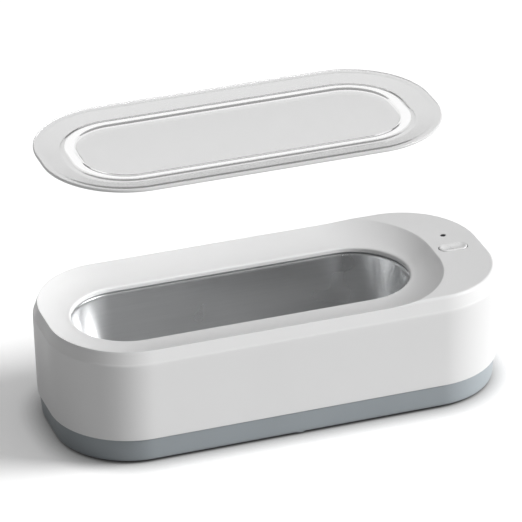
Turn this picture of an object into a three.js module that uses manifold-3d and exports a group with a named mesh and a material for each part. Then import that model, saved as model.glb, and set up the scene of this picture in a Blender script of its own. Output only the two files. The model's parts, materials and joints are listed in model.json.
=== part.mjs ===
// A small ultrasonic jewellery cleaner as an assembly of separate pieces.
// Millimetres, +Z up. The origin is on the floor under the middle of the housing, +X runs along the
// housing towards the control panel and +Y towards the rear, where the power socket is.
// The lid is held up clear of the housing, LID_LIFT above the place where it closes.
import * as THREE from "three";
import { mergeVertices } from "three/addons/utils/BufferGeometryUtils.js";
import Module from "manifold-3d";

const wasm = await Module();
wasm.setup();

// ---------------------------------------------------------------- driving dimensions

const BODY = { length: 208, width: 90, corner: 37 };
const HEIGHT = 56;
const FOOT_HEIGHT = 1;
const SEAM_Z = 12.4;
const WALL = 2.2;
const LID_LIFT = 75;

const TOUCH = 0.1; // between flat neighbours
const GAP = 0.3; // between curved neighbours
const ARC_STEPS = 7; // facets in each quarter turn of an outline

// The mouth of the steel tank, and the wide dish that leads down to it. The dish reaches past the
// housing everywhere but at the control panel, so the two surfaces meet there in a thin rim.
const TANK_MOUTH = { length: 155, width: 50.4, corner: 25.2, x: -12 };
const DISH_MOUTH = { length: 183, width: 91, corner: 40, x: -13 };
const DISH_DEPTH = 4.8;
const DISH_CURVE = 1.5; // above 1, the dish is steepest at its outer edge
const DISH_WALL = 2;

const SEAT_Z = HEIGHT - DISH_DEPTH - DISH_WALL; // underside of the dish, where the gasket sits
const GASKET = 1.2;
const STEEL = 0.8;
const TANK_FLOOR_Z = 17;
const CLAMP = 3;

const SHOULDER_Z = SEAM_Z - TOUCH; // top of the base's outer wall
const BASE_FLOOR_Z = 3; // inside face of the base's floor
const LIP_Z = 16.2;
const SLEEVE_TOP_Z = 6.2; // where the base's screw sleeves meet the posts of the housing
const POST_RADIUS = 3.6;

const BUTTON = { length: 13, width: 6.4, corner: 3.2, x: 88 };
const LENS = { x: 88, y: 12.2, radius: 1.1 };
const SOCKET = { x: 64, z: 24, radius: 5.5 };
const CONTROL_BOARD_Z = 44.4;
const DRIVER_BOARD_Z = 8;
const BOARD = 1.6;

const BASE_SCREWS = [[-80, 33.5], [-80, -33.5], [0, 38.3], [0, -38.3], [80, 31.5], [80, -31.5]];
const CLAMP_SCREWS = [[-60, 34], [-60, -34], [-12, 34], [-12, -34], [36, 34], [36, -34]];
const BOARD_SCREWS = [[59.5, 23], [59.5, -23], [88, 21], [88, -21]];
const PANEL_SCREWS = [[83, -12.5], [94, 12.5]];
const FEET = { rear_right: [74, 20], rear_left: [-74, 20], front_left: [-74, -20], front_right: [74, -20] };

// ---------------------------------------------------------------- geometry helpers

// A rounded rectangle as points, anticlockwise seen from above.
function outline({ length, width, corner, x = 0, y = 0 }) {
  const a = length / 2 - corner, b = width / 2 - corner;
  const points = [];
  [[a, b], [-a, b], [-a, -b], [a, -b]].forEach(([cx, cy], quarter) => {
    for (let i = 0; i <= ARC_STEPS; i++) {
      const angle = (quarter + i / ARC_STEPS) * Math.PI / 2;
      points.push(new THREE.Vector2(x + cx + corner * Math.cos(angle), y + cy + corner * Math.sin(angle)));
    }
  });
  return points;
}

// The same rectangle moved inwards by d, or outwards where d is negative.
const inset = (o, d) => ({ ...o, length: o.length - 2 * d, width: o.width - 2 * d, corner: o.corner - d });

const between = (a, b, t) => ({
  length: THREE.MathUtils.lerp(a.length, b.length, t),
  width: THREE.MathUtils.lerp(a.width, b.width, t),
  corner: THREE.MathUtils.lerp(a.corner, b.corner, t),
  x: THREE.MathUtils.lerp(a.x ?? 0, b.x ?? 0, t),
});

// A closed mesh as a solid. Triangles that merging made flat are dropped.
function solid(geometry) {
  const bare = geometry.clone();
  bare.deleteAttribute("normal");
  bare.deleteAttribute("uv");
  const merged = mergeVertices(bare, 1e-4);
  const index = merged.index.array;
  const kept = [];
  for (let i = 0; i < index.length; i += 3) {
    const [a, b, c] = index.slice(i, i + 3);
    if (a !== b && b !== c && c !== a) kept.push(a, b, c);
  }
  return new wasm.Manifold(new wasm.Mesh({
    numProp: 3,
    vertProperties: new Float32Array(merged.attributes.position.array),
    triVerts: new Uint32Array(kept),
  }));
}

function geometryOf(shape) {
  const { vertProperties, triVerts } = shape.getMesh();
  const geometry = new THREE.BufferGeometry();
  geometry.setAttribute("position", new THREE.BufferAttribute(new Float32Array(vertProperties), 3));
  geometry.setIndex(new THREE.BufferAttribute(new Uint32Array(triVerts), 1));
  const flat = geometry.toNonIndexed();
  flat.computeVertexNormals();
  return flat;
}

// A solid through rounded rectangles at rising heights: sections are [rectangle, z] pairs.
function loft(sections) {
  const rings = sections.map(([rectangle, z]) => outline(rectangle).map((p) => new THREE.Vector3(p.x, p.y, z)));
  const n = rings[0].length;
  const vertices = [];
  const triangle = (...corners) => corners.forEach((v) => vertices.push(v.x, v.y, v.z));
  const middle = (ring) => ring.reduce((sum, v) => sum.add(v), new THREE.Vector3()).divideScalar(n);
  const low = rings[0], high = rings[rings.length - 1];
  const lowMiddle = middle(low), highMiddle = middle(high);
  for (let i = 0; i < n; i++) {
    const j = (i + 1) % n;
    triangle(lowMiddle, low[j], low[i]);
    triangle(highMiddle, high[i], high[j]);
    for (let k = 0; k + 1 < rings.length; k++) {
      triangle(rings[k][i], rings[k][j], rings[k + 1][j]);
      triangle(rings[k][i], rings[k + 1][j], rings[k + 1][i]);
    }
  }
  const geometry = new THREE.BufferGeometry();
  geometry.setAttribute("position", new THREE.Float32BufferAttribute(vertices, 3));
  return solid(geometry);
}

const slab = (rectangle, z0, z1) => loft([[rectangle, z0], [rectangle, z1]]);
const ring = (outer, inner, z0, z1) => slab(outer, z0, z1).subtract(slab(inner, z0 - 1, z1 + 1));

function cylinder(radius, z0, z1, [x, y] = [0, 0], facets = 14) {
  const geometry = new THREE.CylinderGeometry(radius, radius, z1 - z0, facets);
  return solid(geometry.rotateX(Math.PI / 2).translate(x, y, (z0 + z1) / 2));
}

// A cylinder along Y.
function barrel(radius, y0, y1, x, z, facets = 24) {
  const geometry = new THREE.CylinderGeometry(radius, radius, y1 - y0, facets);
  return solid(geometry.translate(x, (y0 + y1) / 2, z));
}

function box([x0, x1], [y0, y1], [z0, z1]) {
  const geometry = new THREE.BoxGeometry(x1 - x0, y1 - y0, z1 - z0);
  return solid(geometry.translate((x0 + x1) / 2, (y0 + y1) / 2, (z0 + z1) / 2));
}

// A turned solid. The profile runs from the axis at the bottom, up the outside, to the axis at the top.
function turned(profile, facets = 24) {
  const points = profile.map(([r, z]) => new THREE.Vector2(r, z));
  return solid(new THREE.LatheGeometry(points, facets).rotateX(Math.PI / 2));
}

// A round wire along a smooth curve through points.
function wire(points, radius) {
  const curve = new THREE.CatmullRomCurve3(points.map((p) => new THREE.Vector3(...p)));
  const section = new THREE.Shape(
    Array.from({ length: 8 }, (_, i) => new THREE.Vector2(radius, 0).rotateAround(new THREE.Vector2(), i * Math.PI / 4)),
  );
  const steps = Math.ceil(curve.getLength() / (5 * radius));
  return solid(new THREE.ExtrudeGeometry(section, { steps, extrudePath: curve, bevelEnabled: false }));
}

const union = (...shapes) => shapes.reduce((a, b) => a.add(b));
const cut = (shape, ...tools) => tools.reduce((a, b) => a.subtract(b), shape);

// ---------------------------------------------------------------- materials

const finish = (color, roughness, metalness = 0, extra = {}) =>
  new THREE.MeshStandardMaterial({ color, roughness, metalness, ...extra });

const materials = {
  whiteHousing: finish(0xf2f2f2, 0.35),
  greyBase: finish(0x8b939a, 0.5),
  clearLid: finish(0xe6e9ea, 0.08, 0, { transparent: true, opacity: 0.35 }),
  whiteButton: finish(0xf4f4f4, 0.3),
  darkLens: finish(0x2a2c30, 0.15),
  stainless: finish(0xb9bbbc, 0.28, 1),
  zincSteel: finish(0xa9abad, 0.4, 1),
  rubber: finish(0x2b2d2f, 0.9),
  silicone: finish(0xc9ccce, 0.7),
  framePlastic: finish(0xd5d6d6, 0.55),
  blackPlastic: finish(0x1c1d1f, 0.45),
  ceramic: finish(0xd8d2c4, 0.6),
  epoxy: finish(0xb8a06a, 0.5),
  circuitBoard: finish(0x1f6b45, 0.5),
  ferrite: finish(0x34363a, 0.6),
  copper: finish(0xb87040, 0.35, 1),
  aluminium: finish(0xc4c7ca, 0.4, 1),
  capacitorSleeve: finish(0x1d2b4a, 0.4),
  filmBlock: finish(0xb0392b, 0.5),
  connector: finish(0xefe9dc, 0.5),
  redWire: finish(0xb3231f, 0.5),
  blackWire: finish(0x222222, 0.5),
  ribbon: finish(0x8f9499, 0.5),
  label: finish(0xc7cacc, 0.45, 0.3),
};

const root = new THREE.Group();

// Adds one named piece to a group, at a place in that group.
function add(group, name, shape, material, [x, y, z] = [0, 0, 0]) {
  const mesh = new THREE.Mesh(shape.isBufferGeometry ? shape : geometryOf(shape), material);
  mesh.name = name;
  mesh.position.set(x, y, z);
  group.add(mesh);
  return mesh;
}

function addGroup() {
  const group = new THREE.Group();
  root.add(group);
  return group;
}

// A pan-head screw, head down. Its origin is the face under the head.
function screwGeometry({ head, headHeight, shank, length }) {
  return geometryOf(turned([
    [0, -headHeight],
    [head * 0.6, -headHeight],
    [head, -headHeight * 0.5],
    [head, 0],
    [shank, 0],
    [shank, length],
    [0, length],
  ], 12).subtract(crossSlot(head, headHeight)));
}

// The cross-shaped drive recess of a screw head.
function crossSlot(head, headHeight) {
  const half = head * 0.5, thin = head * 0.12, z = [-headHeight - 1, -headHeight * 0.5];
  return union(box([-half, half], [-thin, thin], z), box([-thin, thin], [-half, half], z));
}

// ---------------------------------------------------------------- housing

// Depth of the dish below the top face at share s of the way from its edge to the tank's mouth.
const dishZ = (s) => HEIGHT - DISH_DEPTH * (1 - (1 - s) ** DISH_CURVE);

// Walls with a little draft, and a chamfer that softens into them and into the top face.
function housingOutside() {
  return loft([
    [inset(BODY, 1), SEAM_Z],
    [inset(BODY, 0.6), SEAM_Z + 0.5],
    [BODY, 47.8],
    [inset(BODY, 0.3), 49.8],
    [inset(BODY, 1.9), 54.6],
    [inset(BODY, 2.4), 55.6],
    [inset(BODY, 3.2), HEIGHT],
  ]);
}

function housingInside() {
  return loft([
    [inset(BODY, 0.6 + WALL), SEAM_Z - 1],
    [inset(BODY, WALL), 47.8],
    [inset(BODY, WALL + 1.8), 53],
    [inset(BODY, WALL + 3), HEIGHT - WALL],
  ]);
}

function dishCut() {
  const shares = [1, 0.8, 0.6, 0.42, 0.26, 0.12, 0];
  return loft([
    [TANK_MOUTH, SEAT_Z - 5],
    ...shares.map((s) => [between(DISH_MOUTH, TANK_MOUTH, s), dishZ(s)]),
    [DISH_MOUTH, HEIGHT + 4],
  ]);
}

// The wall under the dish, with a flat seat for the gasket around the tank's mouth.
function dishBacking() {
  const seat = inset(TANK_MOUTH, -6.5), edge = inset(DISH_MOUTH, -1.2);
  return loft([
    [seat, SEAT_Z],
    [between(seat, edge, 0.4), SEAT_Z + 1],
    [between(seat, edge, 0.75), SEAT_Z + 2.8],
    [edge, SEAT_Z + 4.8],
    [edge, HEIGHT + 1],
  ]);
}

function buildHousing() {
  const outside = housingOutside();
  const posts = union(
    ...BASE_SCREWS.map((at) => cylinder(POST_RADIUS, SLEEVE_TOP_Z + TOUCH, HEIGHT - WALL, at)),
    ...CLAMP_SCREWS.map((at) => cylinder(3.4, CLAMP_TOP_Z + TOUCH / 2, SEAT_Z + 3, at)),
    ...PANEL_SCREWS.map((at) => cylinder(2.6, CONTROL_BOARD_Z + BOARD + TOUCH, HEIGHT - WALL + 0.5, at, 12)),
  );
  const belowSeam = slab(inset(BODY, 3), 0, SEAM_Z + 0.1);
  const pilots = [
    ...BASE_SCREWS.map((at) => cylinder(1.75, 5, 18, at, 10)),
    ...CLAMP_SCREWS.map((at) => cylinder(1.75, 40, 50.8, at, 10)),
    ...PANEL_SCREWS.map((at) => cylinder(1.35, 40, 52, at, 8)),
  ];
  const shell = outside.subtract(housingInside());
  return cut(
    union(shell, dishBacking().intersect(outside), posts.intersect(outside.add(belowSeam))),
    dishCut(),
    ...pilots,
    slab(inset(BUTTON, -GAP), 45, HEIGHT + 1),
    cylinder(LENS.radius + 0.25, 45, HEIGHT + 1, [LENS.x, LENS.y], 16),
    barrel(SOCKET.radius + GAP, 38, 50, SOCKET.x, SOCKET.z),
  );
}

// ---------------------------------------------------------------- tank and its clamp

const GASKET_TOP_Z = SEAT_Z - TOUCH / 2;
const FLANGE_TOP_Z = GASKET_TOP_Z - GASKET;
const CLAMP_TOP_Z = FLANGE_TOP_Z - STEEL - TOUCH / 2;

// The tank's drawn form, moved outwards by skin: the inside at 0 and the outside at the steel's thickness.
function tankForm(skin, topZ) {
  return loft([
    [inset(TANK_MOUTH, 7.5 - skin), TANK_FLOOR_Z - skin],
    [inset(TANK_MOUTH, 4.6 - skin), TANK_FLOOR_Z + 0.7 - skin],
    [inset(TANK_MOUTH, 2.6 - skin), TANK_FLOOR_Z + 2.6 - skin],
    [inset(TANK_MOUTH, 1.6 - skin), TANK_FLOOR_Z + 6],
    [inset(TANK_MOUTH, -0.6 - skin), topZ],
  ]);
}

function buildTank() {
  const flange = slab(inset(TANK_MOUTH, -4.6), FLANGE_TOP_Z - STEEL, FLANGE_TOP_Z);
  return cut(union(tankForm(STEEL, FLANGE_TOP_Z), flange), tankForm(0, FLANGE_TOP_Z + 0.5));
}

function buildClamp() {
  const z = [CLAMP_TOP_Z - CLAMP, CLAMP_TOP_Z];
  const ears = CLAMP_SCREWS.map((at) => cylinder(4.6, ...z, at, 24));
  const plate = union(slab(inset(TANK_MOUTH, -7.3), ...z), ...ears);
  return cut(
    plate,
    slab(inset(TANK_MOUTH, -1.9), z[0] - 1, z[1] + 1),
    ...CLAMP_SCREWS.map((at) => cylinder(1.75, z[0] - 1, z[1] + 1, at, 10)),
  );
}

// ---------------------------------------------------------------- base

const COUNTERBORE_Z = 3.7;
const LABEL = { length: 46, width: 26, corner: 2, x: -36 };

function buildBase() {
  const outside = loft([
    [inset(BODY, 3.3), FOOT_HEIGHT],
    [inset(BODY, 2.6), FOOT_HEIGHT + 0.5],
    [inset(BODY, 2.2), FOOT_HEIGHT + 1.6],
    [inset(BODY, 1.5), SHOULDER_Z],
  ]);
  const lip = slab(inset(BODY, 3.1), SHOULDER_Z - 2, LIP_Z);
  const hollow = slab(inset(BODY, 4.4), BASE_FLOOR_Z, LIP_Z + 1);
  const sleeves = BASE_SCREWS.map((at) => cylinder(4.2, FOOT_HEIGHT, SLEEVE_TOP_Z, at));
  const standoffs = BOARD_SCREWS.map((at) => cylinder(3, 2, DRIVER_BOARD_Z - TOUCH, at, 12));
  const vents = Array.from({ length: 7 }, (_, i) => box([16 + 5 * i, 18 + 5 * i], [-11, 11], [0, 4]));
  return cut(
    union(outside.add(lip).subtract(hollow), ...sleeves, ...standoffs),
    ...BASE_SCREWS.map((at) => cylinder(3.4, 0, COUNTERBORE_Z, at)),
    ...BASE_SCREWS.map((at) => cylinder(1.75, 0, 8, at, 10)),
    ...BASE_SCREWS.map((at) => cylinder(POST_RADIUS + GAP, SLEEVE_TOP_Z, LIP_Z + 1, at)),
    ...BOARD_SCREWS.map((at) => cylinder(1.35, 2.5, 9, at, 8)),
    ...Object.values(FEET).map((at) => cylinder(7.3, 0, FOOT_HEIGHT + 0.8, at, 24)),
    slab(LABEL, 0, FOOT_HEIGHT + 0.45),
    ...vents,
  );
}

function footGeometry() {
  return geometryOf(turned([[0, 0], [6.2, 0], [6.9, 0.7], [7, FOOT_HEIGHT + 0.7], [0, FOOT_HEIGHT + 0.7]], 24));
}

// ---------------------------------------------------------------- lid

const LID_EDGE = { length: 179, width: 85.2, corner: 38, x: -12.1 };
const LID_SHEET = 1.4;
const LID_SEAT_Z = HEIGHT - 0.4; // its edge lies inside the dish, just clear of it

// A clear moulding: a flange that slopes inwards, a raised bead and a sunken middle panel.
function buildLid() {
  return loft([
    [inset(LID_EDGE, 18.6), -2.4],
    [inset(LID_EDGE, 17.4), -1.1],
    [inset(LID_EDGE, 12.7), -1.1],
    [inset(LID_EDGE, 11.5), -2],
    [inset(LID_EDGE, 2.8), 0],
    [inset(LID_EDGE, 0.5), 0],
    [LID_EDGE, 0.5],
    [LID_EDGE, LID_SHEET - 0.5],
    [inset(LID_EDGE, 0.5), LID_SHEET],
    [inset(LID_EDGE, 2.9), LID_SHEET],
    [inset(LID_EDGE, 11.3), LID_SHEET - 2],
    [inset(LID_EDGE, 12.5), LID_SHEET - 1.1],
    [inset(LID_EDGE, 17.6), LID_SHEET - 1.1],
    [inset(LID_EDGE, 18.8), LID_SHEET - 2.4],
  ]);
}

// ---------------------------------------------------------------- controls

// An oval cap with a flange that keeps it from coming out, and a stem that reaches the plunger.
function buildButton() {
  const flange = { z0: 52.6, z1: HEIGHT - WALL - TOUCH }, crown = 0.35;
  const cap = union(
    slab(inset(BUTTON, -1), flange.z0, flange.z1),
    loft([[BUTTON, flange.z1 - 0.1], [BUTTON, HEIGHT], [inset(BUTTON, 0.4), HEIGHT + crown]]),
  );
  const stem = cylinder(1.6, 50.6, 55, [BUTTON.x, 0], 16);
  return union(cap.subtract(slab(inset(BUTTON, 1), flange.z0 - 1, 54.5)), stem);
}

function buildSwitch(z) {
  const body = box([-3, 3], [-3, 3], [z, z + 3.4]);
  return body.subtract(cylinder(1.95, z + 2.1, z + 4, [0, 0], 16));
}

// ---------------------------------------------------------------- electrical pieces

function buildSocket() {
  const { x, z, radius } = SOCKET;
  const block = box([x - radius, x + radius], [31, 41.7], [z - radius, z + radius]);
  const lugs = union(
    box([x - 2.6, x - 1.4], [28.4, 31.5], [z + 1, z + 3]),
    box([x + 1.4, x + 2.6], [28.4, 31.5], [z - 3, z - 1]),
  );
  return union(block, lugs, barrel(radius, 41, 44.3, x, z)).subtract(barrel(3.2, 33, 46, x, z, 20));
}

function socketPinGeometry() {
  return geometryOf(turned([[0, 0], [1.05, 0], [1.05, 9.6], [0.5, 10.2], [0, 10.2]], 16));
}

function buildHeatSink(z) {
  const plate = box([65, 79.4], [-9.5, -7.5], [z, z + 21]);
  const fins = Array.from({ length: 5 }, (_, i) => box([65 + 3.2 * i, 66.6 + 3.2 * i], [-14, -9], [z, z + 21]));
  return union(plate, ...fins);
}

function buildTransistor(z) {
  const legs = [-2.5, 0, 2.5].map((dx) => box([71.5 + dx, 72.5 + dx], [-5.4, -4.8], [z, z + 3.5]));
  const tab = box([67, 77], [-7.4, -6.1], [z + 3, z + 18]);
  return union(box([67, 77], [-6.2, -2.9], [z + 3, z + 12]), tab, ...legs);
}

// An E-shaped ferrite core pair around a bobbin: two windows with the winding through them.
function buildCore(z) {
  const windows = [[68.2, 72.2], [78.2, 82.2]].map((x) => box(x, [1, 17], [z + 3.2, z + 11.8]));
  return cut(box([65.2, 85.2], [4, 14], [z, z + 15]), ...windows);
}

function buildWinding(z) {
  const coil = { length: 13.4, width: 15, corner: 2.5, x: 75.2, y: 9 };
  const leg = { length: 6.6, width: 10.6, corner: 0.5, x: 75.2, y: 9 };
  return ring(coil, leg, z + 3.5, z + 11.5);
}

// ---------------------------------------------------------------- assembly

function addCasings() {
  const casings = addGroup();
  add(casings, "upper_housing", buildHousing(), materials.whiteHousing);
  add(casings, "base_shell", buildBase(), materials.greyBase);
  add(casings, "rating_label", slab(inset(LABEL, GAP), FOOT_HEIGHT + 0.1, FOOT_HEIGHT + 0.4), materials.label);

  const foot = footGeometry();
  for (const [place, [x, y]] of Object.entries(FEET)) add(casings, `foot_${place}`, foot, materials.rubber, [x, y, 0]);

  const screw = screwGeometry({ head: 3, headHeight: 2, shank: 1.5, length: 12 });
  BASE_SCREWS.forEach(([x, y], i) =>
    add(casings, `base_screw_${i + 1}`, screw, materials.zincSteel, [x, y, COUNTERBORE_Z - TOUCH]));
}

function addTank() {
  const wet = addGroup();
  const seal = ring(inset(TANK_MOUTH, -4.6), inset(TANK_MOUTH, -0.9), FLANGE_TOP_Z + TOUCH / 2, GASKET_TOP_Z);
  add(wet, "tank", buildTank(), materials.stainless);
  add(wet, "tank_gasket", seal, materials.silicone);
  add(wet, "tank_clamp_frame", buildClamp(), materials.framePlastic);
  const screw = screwGeometry({ head: 2.9, headHeight: 1.8, shank: 1.5, length: 6 });
  CLAMP_SCREWS.forEach(([x, y], i) =>
    add(wet, `clamp_screw_${i + 1}`, screw, materials.zincSteel, [x, y, CLAMP_TOP_Z - CLAMP - TOUCH]));

  const disc = addGroup();
  disc.position.set(TANK_MOUTH.x, 0, TANK_FLOOR_Z - STEEL);
  add(disc, "transducer_bond", cylinder(22.7, -0.35, -0.05, [0, 0], 40), materials.epoxy);
  add(disc, "piezo_transducer", cylinder(22.5, -3.4, -0.4, [0, 0], 40), materials.ceramic);
}

function addLid() {
  const cover = addGroup();
  cover.position.z = LID_SEAT_Z + LID_LIFT;
  add(cover, "lid", buildLid(), materials.clearLid);
}

function addControls() {
  const panel = addGroup();
  const top = CONTROL_BOARD_Z + BOARD + TOUCH / 2;
  add(panel, "power_button", buildButton(), materials.whiteButton);
  add(panel, "switch_plunger", cylinder(1.7, 48.75, 50.5, [BUTTON.x, 0], 16), materials.blackPlastic);
  add(panel, "tact_switch", buildSwitch(top), materials.blackPlastic, [BUTTON.x, 0, 0]);
  const lens = cylinder(LENS.radius, 49.5, HEIGHT + 0.1, [0, 0], 16);
  add(panel, "status_lens", lens, materials.darkLens, [LENS.x, LENS.y, 0]);
  const led = box([-1.6, 1.6], [-0.8, 0.8], [top, top + 1.1]);
  add(panel, "status_led", led, materials.connector, [LENS.x, LENS.y, 0]);
  const board = cut(
    slab({ length: 19, width: 32, corner: 4, x: 88.5 }, CONTROL_BOARD_Z, CONTROL_BOARD_Z + BOARD),
    ...PANEL_SCREWS.map((p) => cylinder(1.35, 40, 50, p, 8)),
  );
  add(panel, "control_board", board, materials.circuitBoard);
  const plug = box([86, 94], [-12.5, -7.5], [CONTROL_BOARD_Z - 4, CONTROL_BOARD_Z - TOUCH / 2]);
  add(panel, "control_connector", plug, materials.connector);
  const screw = screwGeometry({ head: 2.2, headHeight: 1.5, shank: 1.1, length: 6.5 });
  PANEL_SCREWS.forEach(([x, y], i) =>
    add(panel, `panel_screw_${i + 1}`, screw, materials.zincSteel, [x, y, CONTROL_BOARD_Z - TOUCH]));
}

function addElectronics() {
  const driver = addGroup();
  const top = DRIVER_BOARD_Z + BOARD + TOUCH;
  const board = cut(
    slab({ length: 39, width: 54, corner: 10, x: 75.5 }, DRIVER_BOARD_Z, DRIVER_BOARD_Z + BOARD),
    ...BOARD_SCREWS.map((p) => cylinder(1.35, 5, 12, p, 8)),
  );
  add(driver, "driver_board", board, materials.circuitBoard);
  const screw = geometryOf(solid(screwGeometry({ head: 2.4, headHeight: 1.6, shank: 1.1, length: 5.5 }).rotateX(Math.PI)));
  BOARD_SCREWS.forEach(([x, y], i) => add(driver, `board_screw_${i + 1}`, screw, materials.zincSteel, [x, y, top]));

  add(driver, "heat_sink", buildHeatSink(top), materials.aluminium);
  add(driver, "drive_transistor", buildTransistor(top), materials.blackPlastic);
  add(driver, "transformer_core", buildCore(top), materials.ferrite);
  add(driver, "transformer_winding", buildWinding(top), materials.copper);
  add(driver, "smoothing_capacitor", cylinder(5, top, top + 20, [86, -12], 24), materials.capacitorSleeve);
  add(driver, "film_capacitor", box([64, 82], [-24, -16], [top, top + 12]), materials.filmBlock);
  add(driver, "fuse", cylinder(4.2, top, top + 8, [90, 13.5], 20), materials.blackPlastic);
  add(driver, "power_connector", box([64, 72], [18, 24], [top, top + 7]), materials.connector);
  add(driver, "transducer_connector", box([57, 63], [-4, 4], [top, top + 5.6]), materials.connector);
  add(driver, "panel_connector", box([89.5, 93.5], [-3, 6], [top, top + 6]), materials.connector);
}

function addSocketAndLeads() {
  const inlet = addGroup();
  add(inlet, "power_socket", buildSocket(), materials.blackPlastic);
  const pin = add(inlet, "socket_pin", socketPinGeometry(), materials.zincSteel, [SOCKET.x, 33.1, SOCKET.z]);
  pin.rotation.x = -Math.PI / 2;

  const leads = addGroup();
  add(leads, "power_lead_red", wire([
    [62, 28, 26], [62, 26.6, 26.1], [62, 22.5, 24.4], [66, 21, 20.2], [66.3, 21, 18.6], [66.3, 21, 17.1],
  ], 0.8), materials.redWire);
  add(leads, "power_lead_black", wire([
    [66, 28, 22], [66, 26.6, 22.1], [69, 23.4, 22.2], [69.7, 21, 20.2], [69.7, 21, 18.6], [69.7, 21, 17.1],
  ], 0.8), materials.blackWire);
  const discZ = TANK_FLOOR_Z - STEEL - 3.8;
  add(leads, "transducer_lead_red", union(
    wire([[-12, 3, discZ - 0.6], [0, 5, 9], [28, 4, 8.2], [48, 2, 10.6], [54.6, 1.6, 13], [56.6, 1.6, 13]], 0.8),
    cylinder(1.6, discZ - 1.4, discZ + 0.3, [-12, 3], 12),
  ), materials.redWire);
  add(leads, "transducer_lead_black", union(
    wire([[2, -6, discZ - 0.6], [12, -6, 9], [32, -4, 8.2], [48, -2, 10.6], [54.6, -1.6, 13], [56.6, -1.6, 13]], 0.8),
    cylinder(1.6, discZ - 1.4, discZ + 0.3, [2, -6], 12),
  ), materials.blackWire);
  const path = new THREE.CatmullRomCurve3([
    [90, -10, 40], [90, -9.9, 38], [94, -7.5, 31], [94, -1, 23], [91.5, 1.5, 18.5], [91.5, 1.5, 16.3],
  ].map((p) => new THREE.Vector3(...p)));
  const flat = new THREE.Shape([[-0.5, -2.5], [0.5, -2.5], [0.5, 2.5], [-0.5, 2.5]].map((p) => new THREE.Vector2(...p)));
  const ribbon = new THREE.ExtrudeGeometry(flat, { steps: 14, extrudePath: path, bevelEnabled: false });
  add(leads, "panel_ribbon", solid(ribbon), materials.ribbon);
}

addCasings();
addTank();
addLid();
addControls();
addElectronics();
addSocketAndLeads();

export default root;
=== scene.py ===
"""Looks of an ultrasonic cleaner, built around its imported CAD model.

Lengths in the shape code are millimetres.
"""

import json
import math

import bmesh
import bpy
import numpy as np
from mathutils import Matrix, Vector

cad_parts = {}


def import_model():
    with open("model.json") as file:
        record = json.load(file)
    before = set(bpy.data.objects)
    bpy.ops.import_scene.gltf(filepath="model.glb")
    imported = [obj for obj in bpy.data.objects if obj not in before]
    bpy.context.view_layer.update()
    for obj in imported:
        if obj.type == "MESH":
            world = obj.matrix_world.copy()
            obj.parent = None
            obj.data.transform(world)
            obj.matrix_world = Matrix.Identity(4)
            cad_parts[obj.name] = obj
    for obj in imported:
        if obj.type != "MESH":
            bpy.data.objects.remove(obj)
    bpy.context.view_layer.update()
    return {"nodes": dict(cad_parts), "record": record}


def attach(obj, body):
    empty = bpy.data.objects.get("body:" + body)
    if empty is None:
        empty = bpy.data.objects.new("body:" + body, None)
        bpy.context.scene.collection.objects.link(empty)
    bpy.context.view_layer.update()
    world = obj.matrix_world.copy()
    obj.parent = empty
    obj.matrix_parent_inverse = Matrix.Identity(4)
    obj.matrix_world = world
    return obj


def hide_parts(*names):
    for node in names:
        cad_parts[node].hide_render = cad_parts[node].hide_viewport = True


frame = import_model()
MM = 0.001

# ---------------------------------------------------------------- sizes, the same as the CAD model's


class Oblong:
    """A rounded rectangle seen from above."""

    ARC, LONG, SHORT = 64, 60, 10  # steps in a corner, along X and along Y

    def __init__(self, length, width, corner, x=0.0):
        self.length, self.width, self.corner, self.x = length, width, corner, x

    def inset(self, d):
        return Oblong(self.length - 2 * d, self.width - 2 * d, max(self.corner - d, 0.0), self.x)

    def toward(self, other, t):
        """The outline part of the way from this one to another."""
        pairs = [(self.length, other.length), (self.width, other.width), (self.corner, other.corner),
                 (self.x, other.x)]
        return Oblong(*(a + (b - a) * t for a, b in pairs))

    def points(self):
        """Points around it anticlockwise, always the same number of them."""
        a, b = self.length / 2 - self.corner, self.width / 2 - self.corner
        signs = [(1, 1), (-1, 1), (-1, -1), (1, -1)]
        corners = [(sx * a, sy * b) for sx, sy in signs]
        found = []
        for q in range(4):
            cx, cy = corners[q]
            for i in range(self.ARC):
                t = (q + i / self.ARC) * math.pi / 2
                found.append((cx + self.corner * math.cos(t), cy + self.corner * math.sin(t)))
            t = (q + 1) * math.pi / 2
            start = np.array((cx, cy)) + self.corner * np.array((math.cos(t), math.sin(t)))
            nx, ny = corners[(q + 1) % 4]
            end = np.array((nx, ny)) + self.corner * np.array((math.cos(t), math.sin(t)))
            steps = self.LONG if q % 2 == 0 else self.SHORT
            found.extend(tuple(start + (end - start) * i / steps) for i in range(steps))
        return np.array(found) + (self.x, 0.0)

    def at(self, z):
        p = self.points()
        return np.column_stack([p, np.full(len(p), float(z))])

    def nearest(self, p):
        """Nearest points of the outline to points inside it, and the inward normals there."""
        half = np.array((self.length / 2, self.width / 2))
        local = p - (self.x, 0.0)
        sign = np.where(local < 0, -1.0, 1.0)
        q = np.abs(local) - (half - self.corner)
        out = np.maximum(q, 0.0)
        normal = out / np.linalg.norm(out, axis=1, keepdims=True) * sign
        edge = sign * (half - self.corner) + np.where(out > 0, 0.0, q) * sign + normal * self.corner
        return edge + (self.x, 0.0), -normal

    def depth(self, p):
        """How far points lie inside the outline. It is negative outside."""
        qx = np.abs(p[:, 0] - self.x) - (self.length / 2 - self.corner)
        qy = np.abs(p[:, 1]) - (self.width / 2 - self.corner)
        outside = np.hypot(np.maximum(qx, 0), np.maximum(qy, 0))
        inside = np.minimum(np.maximum(qx, qy), 0)
        return self.corner - outside - inside


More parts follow.
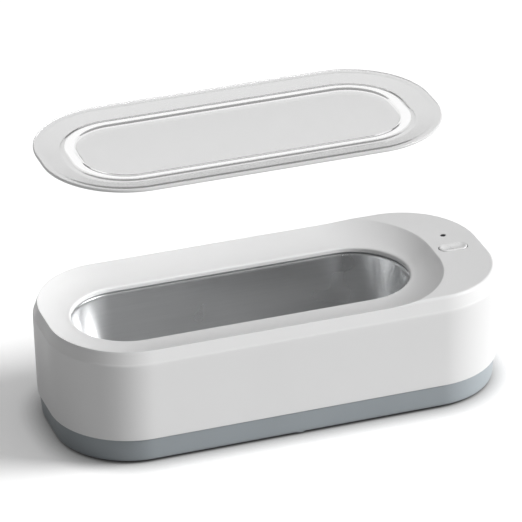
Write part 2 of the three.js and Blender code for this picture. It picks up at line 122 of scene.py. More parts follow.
BODY = Oblong(208, 90, 37)
HEIGHT = 56.0
SEAM = 12.4
WALL = 2.2
TANK = Oblong(155, 50.4, 25.2, -12)
DISH = Oblong(183, 91, 40, -13)
LIP = 51.2
DISH_CURVE = 1.5
LID = Oblong(179, 85.2, 38, -12.1)
LID_Z = 130.6
FOOT = 1.0
STEEL_SHEET = 0.8
FLANGE = 48.0
GASKET = 1.2
TANK_FLOOR = 17.0
BUTTON = Oblong(13, 6.4, 3.2, 88)
LENS = (88.0, 12.2)
SOCKET = (64.0, 24.0)
SOCKET_RADIUS = 5.5
BASE_SCREWS = [(-80, 33.5), (-80, -33.5), (0, 38.3), (0, -38.3), (80, 31.5), (80, -31.5)]
FEET = {"rear_right": (74, 20), "rear_left": (-74, 20), "front_left": (-74, -20), "front_right": (74, -20)}
LABEL = Oblong(46, 26, 2, -36)

# ---------------------------------------------------------------- mesh helpers


def make(name, vertices, faces, material, sharp=38.0):
    """A mesh object from millimetre vertices, cleaned, smooth-shaded, with creases kept sharp."""
    mesh = bpy.data.meshes.new(name)
    mesh.from_pydata([tuple(float(c) * MM for c in v) for v in vertices], [], faces)
    obj = bpy.data.objects.new(name, mesh)
    bpy.context.scene.collection.objects.link(obj)
    tidy(obj, sharp)
    if material:
        mesh.materials.append(material)
    return obj


def tidy(obj, sharp=38.0):
    """Merges doubled vertices, turns the faces outwards and keeps creases over an angle sharp."""
    bm = bmesh.new()
    bm.from_mesh(obj.data)
    bmesh.ops.remove_doubles(bm, verts=bm.verts, dist=2e-6)
    bmesh.ops.dissolve_degenerate(bm, edges=bm.edges, dist=1e-7)
    bmesh.ops.recalc_face_normals(bm, faces=bm.faces)
    for face in bm.faces:
        face.smooth = True
    for edge in bm.edges:
        edge.smooth = len(edge.link_faces) == 2 and edge.calc_face_angle(0.0) < math.radians(sharp)
    bm.to_mesh(obj.data)
    bm.free()


def loft(name, rings, material, closed=False, sharp=38.0):
    """Skin over rings of points.

    A closed one joins its last ring to its first. An open one ends in points or lines.
    """
    n = len(rings[0])
    vertices = np.vstack(rings)
    faces = []
    pairs = [(k, k + 1) for k in range(len(rings) - 1)] + ([(len(rings) - 1, 0)] if closed else [])
    for k, m in pairs:
        for i in range(n):
            j = (i + 1) % n
            faces.append((k * n + i, k * n + j, m * n + j, m * n + i))
    return make(name, vertices, faces, material, sharp)


def fill(outline, z, steps=6, rise=0.0):
    """Rings from just inside an outline to its middle line, for a flat or slightly crowned face."""
    depth = min(outline.length, outline.width) / 2
    rings = []
    for i in range(1, steps + 1):
        t = i / steps
        rings.append(outline.inset(depth * t).at(z + rise * (1 - (1 - t) ** 2)))
    return rings


def arc(centre, radius, start, end, steps=6):
    """Points on a circle in a section, from one angle to another, in degrees."""
    found = []
    for i in range(steps + 1):
        t = math.radians(start + (end - start) * i / steps)
        found.append((centre[0] + radius * math.cos(t), centre[1] + radius * math.sin(t)))
    return found


def turned(name, profile, material, at=(0, 0, 0), segments=72, along="Z", sharp=38.0):
    """A turned shape from (radius, height) points. A profile that starts off the axis is closed on itself."""
    on_axis = profile[0][0] < 1e-6
    rings = []
    for r, h in profile:
        t = np.arange(segments) * 2 * math.pi / segments
        rings.append(np.column_stack([r * np.cos(t), r * np.sin(t), np.full(segments, h)]))
    if along == "Y":
        rings = [ring[:, [0, 2, 1]] for ring in rings]
    rings = [ring + np.array(at, float) for ring in rings]
    return loft(name, rings, material, closed=not on_axis, sharp=sharp)


def boolean(obj, tools, operation="DIFFERENCE", sharp=38.0):
    """Cuts tools that don't touch each other out of an object, or joins them to it, and removes them."""
    joined = bmesh.new()
    for tool in tools:
        joined.from_mesh(tool.data)
        bpy.data.objects.remove(tool)
    mesh = bpy.data.meshes.new("tools")
    joined.to_mesh(mesh)
    joined.free()
    tool = bpy.data.objects.new("tools", mesh)
    bpy.context.scene.collection.objects.link(tool)
    modifier = obj.modifiers.new("cut", "BOOLEAN")
    modifier.operation = operation
    modifier.solver = "EXACT"
    modifier.object = tool
    evaluated = obj.evaluated_get(bpy.context.evaluated_depsgraph_get())
    obj.data = bpy.data.meshes.new_from_object(evaluated)
    obj.modifiers.clear()
    bpy.data.objects.remove(tool)
    tidy(obj, sharp)
    return obj


def flatten_shading(obj):
    """Large faces set the normals, so flat faces stay flat beside small curved ones."""
    modifier = obj.modifiers.new("normals", "WEIGHTED_NORMAL")
    modifier.keep_sharp = True
    modifier.weight = 80
    return obj


def drum(radius, z0, z1, at, segments=48):
    return turned("tool", [(0, z0), (radius, z0), (radius, z1), (0, z1)], None, (at[0], at[1], 0), segments)


def stepped_drum(wide, narrow, z0, z1, z2, at, segments=48):
    """A drum whose radius is first up to z1 and second above it."""
    profile = [(0, z0), (wide, z0), (wide, z1), (narrow, z1), (narrow, z2), (0, z2)]
    return turned("tool", profile, None, (at[0], at[1], 0), segments)


def place(obj, body, slot, *nodes):
    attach(obj, body)
    if nodes:
        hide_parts(*nodes)
    return obj


# ---------------------------------------------------------------- materials


class Look:
    """A node material being built around one Principled shader."""

    def __init__(self, name, color, roughness, metallic=0.0, **sockets):
        self.material = bpy.data.materials.new(name)
        self.material.use_nodes = True
        self.tree = self.material.node_tree
        self.shader = self.tree.nodes["Principled BSDF"]
        self.shader.inputs["Base Color"].default_value = (*color, 1.0)
        self.shader.inputs["Roughness"].default_value = roughness
        self.shader.inputs["Metallic"].default_value = metallic
        for key, value in sockets.items():
            self.shader.inputs[key.replace("_", " ")].default_value = value
        self.coordinates = self.node("ShaderNodeTexCoord").outputs["Object"]
        self.height = None

    def node(self, kind, **settings):
        made = self.tree.nodes.new(kind)
        for key, value in settings.items():
            setattr(made, key, value)
        return made

    def link(self, a, b):
        self.tree.links.new(a, b)

    def noise(self, scale, detail=3.0, roughness=0.5, stretch=(1, 1, 1)):
        mapping = self.node("ShaderNodeMapping")
        mapping.inputs["Scale"].default_value = stretch
        self.link(self.coordinates, mapping.inputs["Vector"])
        made = self.node("ShaderNodeTexNoise")
        made.inputs["Scale"].default_value = scale
        made.inputs["Detail"].default_value = detail
        made.inputs["Roughness"].default_value = roughness
        self.link(mapping.outputs["Vector"], made.inputs["Vector"])
        return made.outputs["Fac"]

    def remap(self, value, low, high, start=0.3, end=0.7):
        made = self.node("ShaderNodeMapRange")
        made.inputs["From Min"].default_value = start
        made.inputs["From Max"].default_value = end
        made.inputs["To Min"].default_value = low
        made.inputs["To Max"].default_value = high
        self.link(value, made.inputs["Value"])
        return made.outputs["Result"]

    def vary_roughness(self, value, low, high, start=0.3, end=0.7):
        self.link(self.remap(value, low, high, start, end), self.shader.inputs["Roughness"])
        return self

    def vary_color(self, value, first, second, start=0.3, end=0.7):
        made = self.node("ShaderNodeMix", data_type="RGBA")
        made.inputs[6].default_value = (*first, 1.0)
        made.inputs[7].default_value = (*second, 1.0)
        self.link(self.remap(value, 0.0, 1.0, start, end), made.inputs[0])
        self.link(made.outputs[2], self.shader.inputs["Base Color"])
        return self

    def bump(self, value, depth_mm):
        """Adds relief of a given depth to any that is there already."""
        made = self.node("ShaderNodeBump")
        made.inputs["Distance"].default_value = depth_mm * MM
        self.link(value, made.inputs["Height"])
        if self.height:
            self.link(self.height, made.inputs["Normal"])
        self.height = made.outputs["Normal"]
        self.link(self.height, self.shader.inputs["Normal"])
        return self


def moulded(name, color, roughness, grain, depth, spread=0.04, **sockets):
    """Moulded plastic: fine grain, a slow drift of tone and patches that are a little more polished."""
    look = Look(name, color, roughness, **sockets)
    tint = tuple(c * (1 - spread) for c in color)
    look.vary_color(look.noise(22, 4), tint, color)
    look.vary_roughness(look.noise(60, 5, 0.6), roughness * 0.86, roughness * 1.14)
    look.bump(look.noise(grain, 4, 0.6), depth)
    return look


WHITE = moulded("white_plastic", (0.80, 0.80, 0.80), 0.40, 1500, 0.012, 0.02, Specular_IOR_Level=0.3)
GREY = moulded("grey_plastic", (0.275, 0.303, 0.322), 0.46, 2600, 0.03, 0.07)
BUTTON_WHITE = moulded("button_plastic", (0.82, 0.82, 0.82), 0.28, 1800, 0.008, 0.02)
DARK_LENS = moulded("dark_lens_plastic", (0.03, 0.031, 0.036), 0.12, 1200, 0.004, 0.1)
BLACK = moulded("black_plastic", (0.022, 0.022, 0.025), 0.42, 2400, 0.03, 0.2)
FRAME_PLASTIC = moulded("frame_plastic", (0.62, 0.62, 0.61), 0.55, 1800, 0.03, 0.06)
NYLON = moulded("connector_nylon", (0.78, 0.74, 0.63), 0.45, 1600, 0.02, 0.08)
RUBBER = moulded("foot_rubber", (0.03, 0.031, 0.034), 0.82, 1700, 0.06, 0.25)
SILICONE = moulded("gasket_silicone", (0.52, 0.54, 0.55), 0.6, 1500, 0.02, 0.06)
RED = moulded("red_insulation", (0.45, 0.02, 0.018), 0.42, 2000, 0.015, 0.1)
BLACK_WIRE = moulded("black_insulation", (0.018, 0.018, 0.02), 0.42, 2000, 0.015, 0.2)
RIBBON = moulded("ribbon_insulation", (0.26, 0.28, 0.31), 0.45, 1200, 0.02, 0.12)
EPOXY = moulded("cast_epoxy", (0.46, 0.34, 0.14), 0.3, 700, 0.05, 0.15)
SLEEVE = moulded("capacitor_sleeve", (0.012, 0.03, 0.085), 0.3, 900, 0.01, 0.15)
FILM = moulded("film_coating", (0.35, 0.035, 0.02), 0.38, 800, 0.05, 0.12)
FERRITE = moulded("sintered_ferrite", (0.045, 0.046, 0.05), 0.6, 1400, 0.05, 0.25)


def steel(name, color, roughness, stretch, depth):
    """Metal with fine lines along one direction."""
    look = Look(name, color, roughness, 1.0)
    lines = look.noise(900, 5, 0.7, stretch)
    look.vary_roughness(look.noise(30, 2, 0.5), roughness * 0.9, roughness * 1.12)
    look.vary_color(lines, tuple(c * 0.95 for c in color), color)
    return look.bump(lines, depth)


STEEL = steel("drawn_steel", (0.78, 0.785, 0.79), 0.30, (0.03, 0.03, 1), 0.004)
ZINC = steel("zinc_plate", (0.55, 0.56, 0.57), 0.34, (1, 1, 1), 0.015)
ALUMINIUM = steel("extruded_aluminium", (0.72, 0.73, 0.74), 0.36, (1, 1, 0.04), 0.02)
COPPER = steel("lacquered_wire", (0.55, 0.2, 0.07), 0.3, (1, 1, 0.02), 0.15)


def ceramic():
    look = Look("fired_ceramic", (0.66, 0.64, 0.6), 0.5)
    look.vary_color(look.noise(90, 6, 0.7), (0.58, 0.55, 0.5), (0.7, 0.68, 0.64))
    look.vary_roughness(look.noise(200, 4), 0.35, 0.6)
    return look.bump(look.noise(1300, 5, 0.7), 0.03)


def circuit_board():
    """Green solder resist over raised tracks."""
    look = Look("circuit_board", (0.01, 0.12, 0.05), 0.35)
    tracks = look.node("ShaderNodeTexBrick", offset=0.37, squash=0.6)
    tracks.inputs["Scale"].default_value = 220
    tracks.inputs["Mortar Size"].default_value = 0.03
    look.link(look.coordinates, tracks.inputs["Vector"])
    look.vary_color(tracks.outputs["Fac"], (0.008, 0.10, 0.04), (0.02, 0.20, 0.08), 0.0, 1.0)
    look.vary_roughness(look.noise(150, 4), 0.26, 0.44)
    return look.bump(tracks.outputs["Fac"], 0.05)


def label_film():
    look = Look("label_film", (0.55, 0.56, 0.57), 0.36, 0.35)
    look.vary_color(look.noise(30, 4), (0.5, 0.51, 0.52), (0.58, 0.59, 0.6))
    look.vary_roughness(look.noise(120, 5), 0.28, 0.44)
    return look.bump(look.noise(900, 4, 0.6, (0.1, 1, 1)), 0.01)


def clear_plastic(name, tint, clarity=1.0):
    """Clear moulding with faint handling marks and ripples."""
    look = Look(name, tint, 0.04, Transmission_Weight=clarity, IOR=1.3)
    look.vary_roughness(look.noise(45, 6, 0.65), 0.015, 0.09, 0.42, 0.68)
    look.bump(look.noise(26, 2), 0.10)
    return look.bump(look.noise(700, 4, 0.7, (1, 0.2, 1)), 0.002)


CERAMIC, BOARD, FILM_LABEL = ceramic(), circuit_board(), label_film()
CLEAR = clear_plastic("clear_plastic", (0.705, 0.705, 0.705))
# The bead's whiter, clearer tint of the same plastic is a painted highlight band.
BEAD_PAINTED_HIGHLIGHT = clear_plastic("bead_painted_highlight", (0.98, 0.98, 0.98))
# The lid's outer edge gets a whiter, milky tint of the same plastic: a painted edge highlight.
EDGE_PAINTED_HIGHLIGHT = clear_plastic("lid_edge_painted_highlight", (0.86, 0.86, 0.86), 0.25)

SLOT_LOOKS = {
    "white_housing": WHITE, "grey_base": GREY, "clear_lid": CLEAR, "white_button": BUTTON_WHITE,
    "dark_lens": DARK_LENS,
    "stainless_steel": STEEL, "zinc_steel": ZINC, "rubber": RUBBER, "silicone": SILICONE,
    "frame_plastic": FRAME_PLASTIC, "black_plastic": BLACK, "piezo_ceramic": CERAMIC, "epoxy": EPOXY,
    "circuit_board": BOARD, "ferrite": FERRITE, "copper_wire": COPPER, "aluminium": ALUMINIUM,
    "capacitor_sleeve": SLEEVE, "film_block": FILM, "connector": NYLON, "red_wire": RED,
    "black_wire": BLACK_WIRE,
    "ribbon": RIBBON, "label": FILM_LABEL,
}
for part in frame["record"]["subparts"]:
    mesh = frame["nodes"][part["node"]].data
    mesh.materials.clear()
    mesh.materials.append(SLOT_LOOKS[part["material_slot"]].material)

# ---------------------------------------------------------------- upper housing

# The outside near the top: distance in from the outline, and height.
CHAMFER = [(0.0, 47.8), (0.03, 48.8), (0.1, 49.35), (0.22, 49.75), (0.4, 50.1), (1.9, 54.6), (2.12, 55.15),
           (2.42, 55.6), (2.78, 55.88), (3.2, 56.0)]


def outside_height(d):
    return np.interp(d, [p[0] for p in CHAMFER], [p[1] for p in CHAMFER])


def dish_height(p):
    """Height of the dish over plan points. Past the dish's edge its slope is carried on upwards."""
    low, high = np.full(len(p), -0.6), np.ones(len(p))
    for _ in range(32):
        share = (low + high) / 2
        inside = DISH.toward(TANK, share).depth(p) > 0
        low, high = np.where(inside, share, low), np.where(inside, high, share)
    return LIP + (HEIGHT - LIP) * (1 - high) ** DISH_CURVE


def rim_distance(edge, inward, furthest=34.0):
    """Distance in from the outline to the place where the outside meets the dish."""
    low, high = np.zeros(len(edge)), np.full(len(edge), furthest)
    for _ in range(40):
        d = (low + high) / 2
        above = dish_height(edge + inward * d[:, None]) > outside_height(d)
        low, high = np.where(above, d, low), np.where(above, high, d)
    return high


def housing():
    """Outside, dish, lip over the tank and inside as one closed skin, with holes cut in it."""
    draft, lip_radius, rim_radius, skirt = 0.6, 0.8, 0.28, 0.5
    edge, inward = BODY.nearest(DISH.toward(TANK, 0.35).points())
    rim = rim_distance(edge, inward)
    start, end = edge + inward * rim[:, None], TANK.inset(-lip_radius).points()

    def out(d, z=None):
        """Ring on the outside, which stops just short of the rim."""
        reach = np.minimum(d, rim - rim_radius)
        p = edge + inward * reach[:, None]
        return np.column_stack([p, outside_height(reach) if z is None else np.full(len(p), float(z))])

    def dish(share, drop=0.0):
        """Ring on the dish, a share of the way from the rim to the lip."""
        p = start + (end - start) * np.reshape(share, (-1, 1))
        return np.column_stack([p, dish_height(p) - drop])

    def under(d):
        """Ring on the inside, one wall below the dish and the control panel."""
        p = edge + inward * np.reshape(d, (-1, 1))
        return np.column_stack([p, np.minimum(dish_height(p) - WALL, HEIGHT - 2.3)])

    def inner(d, z):
        return np.column_stack([edge + inward * d, np.full(len(edge), z)])

    low, high = SEAM + skirt, CHAMFER[0][1]
    rings = [out(1.9, SEAM), out(1.0, SEAM), out(0.72, SEAM + 0.12), out(draft, low)]
    rings += [out(draft * (1 - t), low + (high - low) * t) for t in (0.1, 0.3, 0.5, 0.7, 0.9)]
    rings += [out(d) for d in np.concatenate([np.linspace(0, 0.4, 11), np.linspace(0.52, 1.7, 7)])]
    rings += [out(d) for d in np.concatenate([np.linspace(1.85, 3.2, 14), (3.6, 4.5, 6.5, 9.5, 13, 17, 21)])]
    rings += [out(np.inf), dish(0.0, 0.05)]
    span = np.linalg.norm(end - start, axis=1)
    rings += [dish(rim_radius / span)] + [dish(s) for s in np.linspace(0.06, 1, 28)]
    lip_arc = arc((lip_radius, LIP - lip_radius), lip_radius, 90, 180, 6)
    rings += [TANK.inset(-h).at(z) for h, z in lip_arc[1:]]
    rings += [TANK.at(FLANGE + GASKET), TANK.inset(-6).at(FLANGE + GASKET)]
    rings += [under(rim + 3.4), under(rim + 1.0), under(np.minimum(rim + 1.0, 3.4))]
    rings += [inner(2.3, 47.5), inner(2.8, SEAM)]
    shell = loft("housing_shell", rings, WHITE.material, closed=True, sharp=32)
    hole, mouth = BUTTON.inset(-0.3), BUTTON.inset(-0.5)
    bottom, top = 45, 60
    rings = fill(hole, bottom)[::-1] + [hole.at(bottom), hole.at(HEIGHT - 0.2)]
    rings += [mouth.at(HEIGHT), mouth.at(top)] + fill(mouth, top)
    tools = [loft("tool", rings, None), drum(1.35, bottom, top, LENS, 32)]
    bore = SOCKET_RADIUS + 0.3
    profile = [(0, 38), (bore, 38), (bore, 50), (0, 50)]
    tools.append(turned("tool", profile, None, (SOCKET[0], 0, SOCKET[1]), 64, "Y"))
    boolean(shell, tools, sharp=32)
    return flatten_shading(shell)


place(housing(), "housing", "white_housing", "upper_housing")

# ---------------------------------------------------------------- base


def base():
    """A tray with a rounded lower edge and a lip that goes up inside the housing."""
    low, high = (2.25, FOOT + 1.8), (1.5, SEAM - 0.5)
    foot_edge = [(3.9, FOOT), (3.3, FOOT + 0.12), (2.75, FOOT + 0.45), (2.42, FOOT + 1.0), low]
    side = [tuple(a + (b - a) * t for a, b in zip(low, high)) for t in (0.25, 0.5, 0.75, 1)]
    shoulder = [(1.62, SEAM - 0.22), (1.8, SEAM - 0.1), (3.1, SEAM - 0.1)]
    lip = [(3.1, 16.0), (3.3, 16.2), (4.4, 16.2), (4.4, 3.0)]
    rings = fill(BODY.inset(foot_edge[0][0]), FOOT)[::-1]
    rings += [BODY.inset(d).at(z) for d, z in foot_edge + side + shoulder + lip]
    rings += fill(BODY.inset(lip[-1][0]), lip[-1][1])
    shell = loft("base_tray", rings, GREY.material)
    boolean(shell, [drum(4.2, FOOT + 0.2, 6.2, at, 40) for at in BASE_SCREWS], "UNION")
    tools = [stepped_drum(3.4, 1.7, -2, 3.7, 9, at) for at in BASE_SCREWS]
    tools += [drum(7.3, -2, FOOT + 0.8, at, 64) for at in FEET.values()]
    for i in range(7):
        slot = Oblong(2, 22, 0.99, 17 + 5 * i)
        rings = fill(slot, -2)[::-1] + [slot.at(-2), slot.at(5)] + fill(slot, 5)
        tools.append(loft("tool", rings, None))
    top = FOOT + 0.45
    recess = fill(LABEL, -2)[::-1] + [LABEL.at(-2), LABEL.at(top)] + fill(LABEL, top)
    tools.append(loft("tool", recess, None))
    boolean(shell, tools)
    return flatten_shading(shell)


def foot(name, at):
    edge = [(0, 0), (5.6, 0)] + arc((5.6, 0.6), 0.6, -90, -10, 5) + [(6.75, 1.2), (6.9, 1.7), (0, 1.7)]
    return turned(name, edge, RUBBER.material, (*at, 0))


def cross_screws(name, places, top, radius, height, length, material):
    """Pan-head screws seen from below, with a cross recess in the head."""
    head = [(0, -height), (radius * 0.5, -height)]
    head += arc((radius - 0.9, -height + 0.9), 0.9, -78, 0, 6) + [(radius, 0)]
    first = turned(name + "_1", head + [(1.5, 0), (1.5, length), (0, length)], material, (0, 0, top), 48)
    for turn in (0, 1):
        half = (radius * 0.55, radius * 0.13) if turn else (radius * 0.13, radius * 0.55)
        corners = [(-half[0], -half[1]), (half[0], -half[1]), (half[0], half[1]), (-half[0], half[1])]
        low, high = top - height - 1, top - height * 0.35
        box = [(x, y, low) for x, y in corners] + [(x * 0.8, y * 0.8, high) for x, y in corners]
        faces = [(0, 1, 2, 3), (4, 5, 6, 7)] + [(i, (i + 1) % 4, (i + 1) % 4 + 4, i + 4) for i in range(4)]
        boolean(first, [make("tool", box, faces, None)])
    screws = [first]
    for i in range(1, len(places)):
        copy = bpy.data.objects.new(f"{name}_{i + 1}", first.data.copy())
        bpy.context.scene.collection.objects.link(copy)
        screws.append(copy)
    for screw, at in zip(screws, places):
        screw.data.transform(Matrix.Translation((at[0] * MM, at[1] * MM, 0)))
    return screws


tray = place(base(), "housing", "grey_base", "base_shell")
for key, at in FEET.items():
    place(foot("rubber_foot_" + key, at), "housing", "rubber", "foot_" + key)
for i, screw in enumerate(cross_screws("case_screw", BASE_SCREWS, 3.6, 3.0, 2.0, 12.0, ZINC.material)):
    place(screw, "housing", "zinc_steel", f"base_screw_{i + 1}")
plate = LABEL.inset(0.3)
label_rings = fill(plate, FOOT + 0.1)[::-1] + [plate.at(FOOT + 0.12), plate.at(FOOT + 0.4)]
label_rings += fill(plate, FOOT + 0.4)
place(loft("label_plate", label_rings, FILM_LABEL.material), "housing", "label", "rating_label")

# ---------------------------------------------------------------- tank


def tank_solid():
    """Inner skin, flange and outer skin of the drawn tank as one closed sheet."""
    radius = 3.4
    bend = (1.95 + radius + 0.35, TANK_FLOOR + radius)
    wall = [(-0.6, 47.7), (-0.5, 46.5), (0.0, 41.5), (0.5, 36), (0.9, 31), (1.25, 27), (1.6, 23), (1.9, 21)]
    inside = wall + arc(bend, radius, 176, 270, 12)
    outside = [(d - STEEL_SHEET, z) for d, z in wall[1:]] + arc(bend, radius + STEEL_SHEET, 176, 270, 12)
    below = FLANGE - STEEL_SHEET
    rings = fill(TANK.inset(inside[-1][0]), TANK_FLOOR, 12)[::-1]
    rings += [TANK.inset(d).at(z) for d, z in inside[::-1]]
    rings += [TANK.inset(-0.75).at(FLANGE - 0.07), TANK.inset(-1.0).at(FLANGE), TANK.inset(-4.6).at(FLANGE)]
    rings += [TANK.inset(-4.6).at(below), TANK.inset(-1.4).at(below)]
    rings += [TANK.inset(d).at(z) for d, z in outside]
    rings += fill(TANK.inset(outside[-1][0]), TANK_FLOOR - STEEL_SHEET, 12)
    return loft("steel_tank", rings, STEEL.material, sharp=50)


place(tank_solid(), "housing", "stainless_steel", "tank")
seal = [(-4.6, 48.05)] + [(-1.4 + r, z) for r, z in arc((0, 48.6), 0.52, -90, 90, 8)] + [(-4.6, 49.12)]
place(loft("mouth_gasket", [TANK.inset(d).at(z) for d, z in seal], SILICONE.material, closed=True),
      "housing", "silicone", "tank_gasket")

# ---------------------------------------------------------------- lid


def rounded(points, reach, steps=5):
    """A section with each inner corner replaced by a curve that starts a given distance from it."""
    points = [np.array(p, float) for p in points]
    found = [points[0]]
    for before, corner, after in zip(points, points[1:], points[2:]):
        a, b = before - corner, after - corner
        a *= min(reach / np.linalg.norm(a), 0.5)
        b *= min(reach / np.linalg.norm(b), 0.5)
        for i in range(steps + 1):
            t = i / steps
            found.append(corner + a * (1 - t) ** 2 + b * t ** 2)
    return found + [points[-1]]


BEAD = (13.4, 17.9)  # distances in from the lid's outline between which the bead gets a whiter tint, a painted highlight
EDGE_HIGHLIGHT_WIDTH = 0.5  # width of the lid's outer edge that gets a whiter, milky tint, a painted highlight


def lid():
    """A clear sheet: a flange that slopes inwards, a raised bead and a sunken middle panel."""
    sheet, round_edge, crown = 1.4, 0.55, 0.3
    lower = [(round_edge, 0), (2.85, 0), (11.4, -2), (12.6, -1.1), (17.5, -1.1), (18.7, -2.4), (20.5, -2.4)]
    panel_edge, panel_z = lower[-1]
    under = rounded(lower, 0.9)
    edge = arc((round_edge, round_edge), round_edge, 270, 180, 4)[1:]
    edge += arc((round_edge, sheet - round_edge), round_edge, 180, 90, 4)[:-1]
    top = [(d, z + sheet) for d, z in under]
    panel = LID.inset(panel_edge)
    rings = fill(panel, LID_Z + panel_z, 12, crown)[::-1]
    rings += [LID.inset(d).at(LID_Z + z) for d, z in under[::-1] + edge + top]
    rings += fill(panel, LID_Z + panel_z + sheet, 12, crown)
    cover = loft("clear_lid", rings, CLEAR.material, sharp=75)
    cover.data.materials.append(BEAD_PAINTED_HIGHLIGHT.material)
    cover.data.materials.append(EDGE_PAINTED_HIGHLIGHT.material)
    # Faces on the bead and along the outer edge take the whiter materials, which are painted highlights.
    centres = np.array([face.center[:2] for face in cover.data.polygons]) / MM
    for face, depth in zip(cover.data.polygons, LID.depth(centres)):
        if BEAD[0] < depth < BEAD[1]:
            face.material_index = 1
        elif depth < EDGE_HIGHLIGHT_WIDTH:
            face.material_index = 2
    return cover


cover = place(lid(), "lid", "clear_lid", "lid")
cover.visible_shadow = False
cover.visible_glossy = False

# ---------------------------------------------------------------- controls


def button():
    """An oval cap with a rounded edge and a slightly hollow top, on a flange below the housing's top."""
    section = [(-1, 52.6), (-1, 53.6), (0, 53.6), (0, 55.7)] + arc((0.45, 55.85), 0.45, 180, 90, 6)
    section += [(0.8, 56.28), (1.2, 56.2), (1.7, 56.08), (2.3, 56.0), (3.0, 55.97)]
    flange = BUTTON.inset(-1)
    rings = fill(flange, 52.6)[::-1] + [BUTTON.inset(d).at(z) for d, z in section]
    return loft("button_cap", rings + [BUTTON.inset(3.2).at(55.96)], BUTTON_WHITE.material)


def socket():
    """A barrel with a bevelled mouth, blind at its inner end."""
    wide = SOCKET_RADIUS
    profile = [(0, 31), (wide, 31), (wide, 44.05), (wide - 0.2, 44.3)]
    profile += [(3.6, 44.3), (3.2, 43.9), (3.2, 33), (0, 33)]
    return turned("socket_barrel", profile, BLACK.material, (SOCKET[0], 0, SOCKET[1]), 72, "Y")


place(button(), "button", "white_button", "power_button")
lens_profile = [(0, 49.5), (1.1, 49.5), (1.1, 55.7)] + arc((0.8, 55.75), 0.3, 0, 70, 4)
lens_profile += [(0.4, 56.08), (0, 56.1)]
place(turned("lens_dome", lens_profile, DARK_LENS.material, (*LENS, 0), 40),
      "housing", "dark_lens", "status_lens")
place(socket(), "housing", "black_plastic", "power_socket")
pin_profile = [(0, 33.1), (1.05, 33.1), (1.05, 42.6)] + arc((0.6, 42.7), 0.45, 0, 80, 5) + [(0, 43.2)]
place(turned("socket_centre_pin", pin_profile, ZINC.material, (SOCKET[0], 0, SOCKET[1]), 40, "Y"),
      "housing", "zinc_steel", "socket_pin")

# ---------------------------------------------------------------- floor, light and camera


def seen_directly(tree, *more):
    """1 for rays that the camera sends, straight or through clear plastic, and 0 for other rays.

    It is 1 for any more kinds of ray that are named too.
    """
    path = tree.nodes.new("ShaderNodeLightPath")
    value = path.outputs["Is Camera Ray"]
    for kind in ("Is Transmission Ray", *more):
        either = tree.nodes.new("ShaderNodeMath")
        either.operation = "MAXIMUM"
        tree.links.new(value, either.inputs[0])
        tree.links.new(path.outputs[kind], either.inputs[1])
        value = either.outputs["Value"]
    return value


FLOOR_GLOW = 0.18  # added light where the floor is seen
FLOOR_BOUNCE = 0.46  # how much light it sends on to the object
PAPER = 0.98  # how light it looks
CONTACT_REACH = 0.012  # how far from the object, in metres, its contact shadow reaches


def floor():
    """White paper with a contact shadow, which throws less light on the object than it shows the camera."""
    mesh = bpy.data.meshes.new("floor")
    half = 6.0
    corners = [(-half, -half, 0), (half, -half, 0), (half, half, 0), (-half, half, 0)]
    mesh.from_pydata(corners, [], [(0, 1, 2, 3)])
    obj = bpy.data.objects.new("floor", mesh)
    bpy.context.scene.collection.objects.link(obj)
    look = Look("floor_paper", (PAPER,) * 3, 0.9, Specular_IOR_Level=0.0)
    seen = seen_directly(look.tree, "Is Glossy Ray")
    look.vary_color(seen, (FLOOR_BOUNCE,) * 3, (PAPER,) * 3, 0.0, 1.0)
    shade = look.node("ShaderNodeAmbientOcclusion", samples=8)
    shade.inputs["Distance"].default_value = CONTACT_REACH
    shade.inputs["Color"].default_value = (PAPER, PAPER, PAPER, 1)
    tint = look.shader.inputs["Base Color"].links[0].from_node
    look.link(shade.outputs["Color"], tint.inputs[7])
    glow = look.node("ShaderNodeMath", operation="MULTIPLY")
    look.link(shade.outputs["AO"], glow.inputs[0])
    look.link(look.remap(seen, 0.0, FLOOR_GLOW, 0.0, 1.0), glow.inputs[1])
    look.shader.inputs["Emission Color"].default_value = (1, 1, 1, 1)
    look.link(glow.outputs["Value"], look.shader.inputs["Emission Strength"])
    mesh.materials.append(look.material)
    return obj


def sun(name, direction, strength, angle, only=None, spare=None):
    """A distant lamp. It lights every object, one object only, or all but a spared one."""
    light = bpy.data.lights.new(name, "SUN")
    light.energy = strength * math.pi
    light.angle = math.radians(angle)
    obj = bpy.data.objects.new(name, light)
    obj.rotation_euler = Vector(direction).to_track_quat("Z", "Y").to_euler()
    bpy.context.scene.collection.objects.link(obj)
    if only or spare:
        chosen = bpy.data.collections.new(name + "_chosen")
        chosen.objects.link(only or spare)
        obj.light_linking.receiver_collection = chosen
        if spare:
            chosen.collection_objects[0].light_linking.link_state = "EXCLUDE"


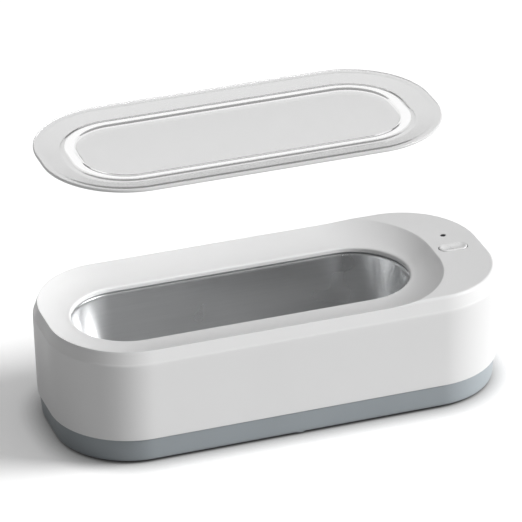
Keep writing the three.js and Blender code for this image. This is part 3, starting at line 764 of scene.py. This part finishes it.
def world(horizon, zenith, lean):
    """A plain room, brighter overhead and dimmer toward -X, that looks white to the camera."""
    made = bpy.data.worlds.new("studio")
    made.use_nodes = True
    tree = made.node_tree
    background = tree.nodes["Background"]
    background.inputs["Color"].default_value = (1, 1, 1, 1)
    direction = tree.nodes.new("ShaderNodeTexCoord").outputs["Generated"]
    split = tree.nodes.new("ShaderNodeSeparateXYZ")
    level = tree.nodes.new("ShaderNodeMapRange")
    level.inputs["To Min"].default_value = horizon
    level.inputs["To Max"].default_value = zenith
    side = tree.nodes.new("ShaderNodeMapRange")
    side.inputs["From Min"].default_value = -1.0
    side.inputs["To Min"].default_value = 1.0 - lean
    side.inputs["From Max"].default_value = 0.4
    both = tree.nodes.new("ShaderNodeMath")
    both.operation = "MULTIPLY"
    white = tree.nodes.new("ShaderNodeMix")
    white.inputs[3].default_value = 1.0
    tree.links.new(direction, split.inputs[0])
    tree.links.new(split.outputs["Z"], level.inputs["Value"])
    tree.links.new(seen_directly(tree), white.inputs[0])
    tree.links.new(split.outputs["X"], side.inputs["Value"])
    tree.links.new(level.outputs["Result"], both.inputs[0])
    tree.links.new(side.outputs["Result"], both.inputs[1])
    tree.links.new(both.outputs["Value"], white.inputs[2])
    tree.links.new(white.outputs[0], background.inputs["Strength"])
    bpy.context.scene.world = made


def camera(azimuth, elevation, roll, distance, target, lens_mm):
    a, e, r = (math.radians(v) for v in (azimuth, elevation, roll))
    back = Vector((math.sin(a) * math.cos(e), -math.cos(a) * math.cos(e), math.sin(e)))
    right = (-back).cross(Vector((0, 0, 1))).normalized()
    up = right.cross(-back)
    turned_right = math.cos(r) * right + math.sin(r) * up
    turned_up = -math.sin(r) * right + math.cos(r) * up
    data = bpy.data.cameras.new("camera")
    data.sensor_width = 36.0
    data.lens = lens_mm
    data.clip_end = 50
    obj = bpy.data.objects.new("camera", data)
    matrix = Matrix((turned_right, turned_up, back)).transposed().to_4x4()
    matrix.translation = Vector(target) + back * distance
    obj.matrix_world = matrix
    bpy.context.scene.collection.objects.link(obj)
    bpy.context.scene.camera = obj


paper = floor()
sun("key", (0.79, -0.44, 0.43), 1.0, 24, spare=paper)
sun("floor_key", (0.80, -0.24, 0.43), 1.30, 28, only=paper)
sun("base_side", (0.97, -0.15, 0.20), 0.75, 20, only=tray)
world(0.2, 0.5, 0.42)
camera(-18.879, 27.504, -0.79, 1.7414, (-0.002785, 0, 0.065506), 273.41034)
bpy.context.scene.view_settings.view_transform = "Standard"
